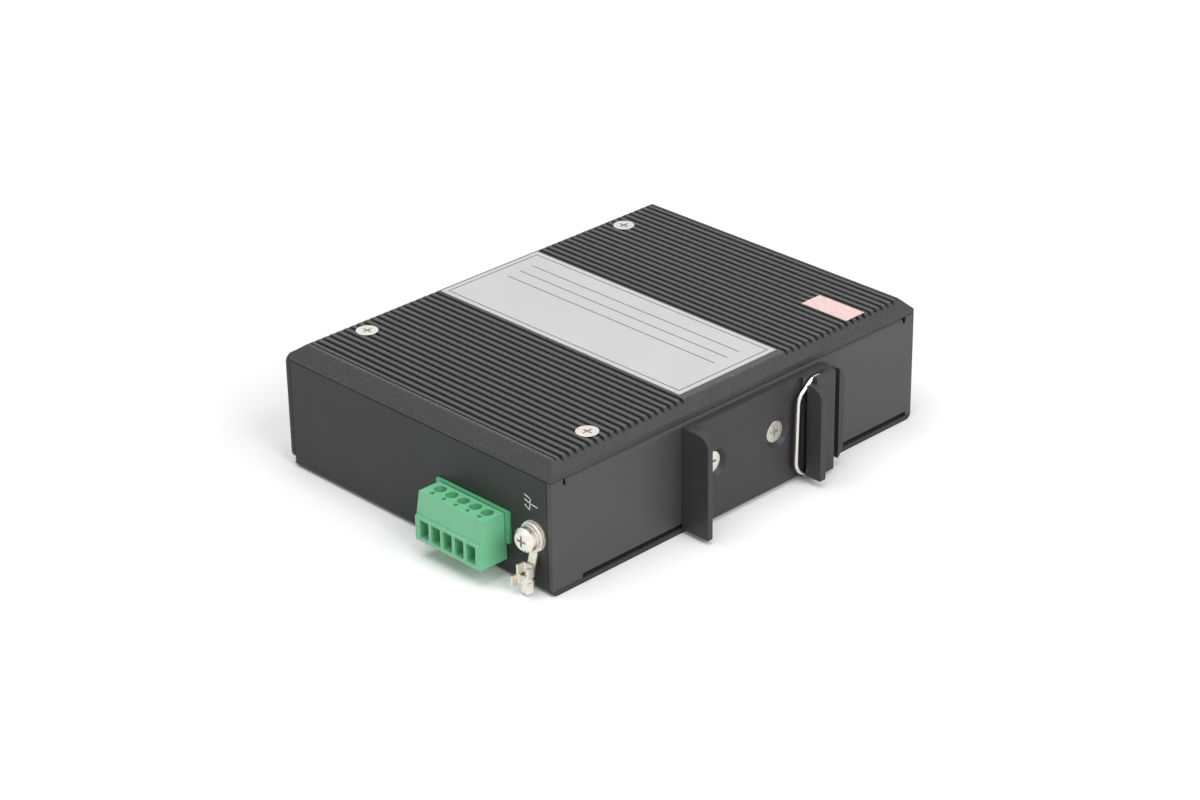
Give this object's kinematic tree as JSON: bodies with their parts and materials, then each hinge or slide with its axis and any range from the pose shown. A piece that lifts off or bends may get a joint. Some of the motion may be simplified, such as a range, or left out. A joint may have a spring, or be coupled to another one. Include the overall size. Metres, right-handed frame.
{
  "type": "din rail ethernet switch",
  "caption": "Compact industrial network switch in a sheet metal housing with a ribbed heat-spreading cover, a green plug-in power terminal and a rail bracket with a wire spring.",
  "frame": {"origin": "middle of the underside of the base sheet, on the housing's own centre", "axes": "+Z out of the ribbed cover, +X out of the wall with the power terminal, +Y out of the wall with the rail bracket"},
  "size_m": [0.1273, 0.0973, 0.0321],
  "materials": {
    "ribbed_cover_coat": "fine satin powder coat on cast aluminium",
    "housing_coat": "fine textured powder coat on steel sheet",
    "bracket_coat": "black anodised extrusion, satin",
    "bright_screw": "bright nickel plate",
    "plated_nut": "zinc plate",
    "spring_wire": "drawn stainless wire",
    "board_green": "solder mask",
    "jack_plastic": "moulded thermoplastic",
    "jack_shield": "tinned sheet",
    "contact_gold": "gold flash on bronze",
    "component_black": "moulded epoxy",
    "thermal_pad": "soft silicone",
    "heat_block": "machined",
    "capacitor_can": "sleeved can",
    "lamp_clear": "clear polycarbonate",
    "header_green": "moulded thermoplastic, slight gloss",
    "plug_green": "moulded thermoplastic, slight gloss",
    "clamp_metal": "nickel plate",
    "lug_tin": "tinned brass",
    "label_stock": "printed polyester film",
    "seal_stock": "thin film"
  },
  "bodies": {
    "housing": {"base_shell": "housing_coat", "board_screws": "bright_screw", "board_standoffs": "plated_nut", "bracket_nuts": "plated_nut", "bracket_screws": "bright_screw", "circuit_board": "board_green", "cover_screws": "bright_screw", "din_bracket": "bracket_coat", "flange_nuts": "plated_nut", "front_frame": "housing_coat", "front_panel": "housing_coat", "ground_flat_washer": "bright_screw", "ground_lug": "lug_tin", "ground_nut": "plated_nut", "ground_screw": "bright_screw", "ground_spring_washer": "bright_screw", "header_pins": "contact_gold", "heat_block": "heat_block", "jack_contacts_1": "contact_gold", "jack_contacts_2": "contact_gold", "jack_contacts_3": "contact_gold", "jack_contacts_4": "contact_gold", "jack_contacts_5": "contact_gold", "jack_shield_1": "jack_shield", "jack_shield_2": "jack_shield", "jack_shield_3": "jack_shield", "jack_shield_4": "jack_shield", "jack_shield_5": "jack_shield", "power_capacitor_1": "capacitor_can", "power_capacitor_2": "capacitor_can", "power_inductor": "component_black", "rating_label": "label_stock", "rear_foot": "housing_coat", "rear_panel": "housing_coat", "ribbed_cover": "ribbed_cover_coat", "rj45_jack_1": "jack_plastic", "rj45_jack_2": "jack_plastic", "rj45_jack_3": "jack_plastic", "rj45_jack_4": "jack_plastic", "rj45_jack_5": "jack_plastic", "seal_sticker": "seal_stock", "status_light_pipes": "lamp_clear", "switch_chip": "component_black", "terminal_header": "header_green", "thermal_pad": "thermal_pad", "transformer_1": "component_black", "transformer_2": "component_black", "transformer_3": "component_black", "transformer_4": "component_black", "transformer_5": "component_black"},
    "plug": {"terminal_plug": "plug_green", "plug_clamp_screws": "clamp_metal", "plug_cages": "clamp_metal", "plug_contacts": "contact_gold"},
    "spring": {"rail_spring": "spring_wire"}
  },
  "joints": [
    {"name": "plug_pull", "type": "slide", "parent": "housing", "child": "plug", "axis": [1, 0, 0], "range_m": [0, 0.012]},
    {"name": "spring_flex", "type": "slide", "parent": "housing", "child": "spring", "axis": [-1, 0, 0], "range_m": [0, 0.003], "stiffness_N_per_m": 3000}
  ]
}
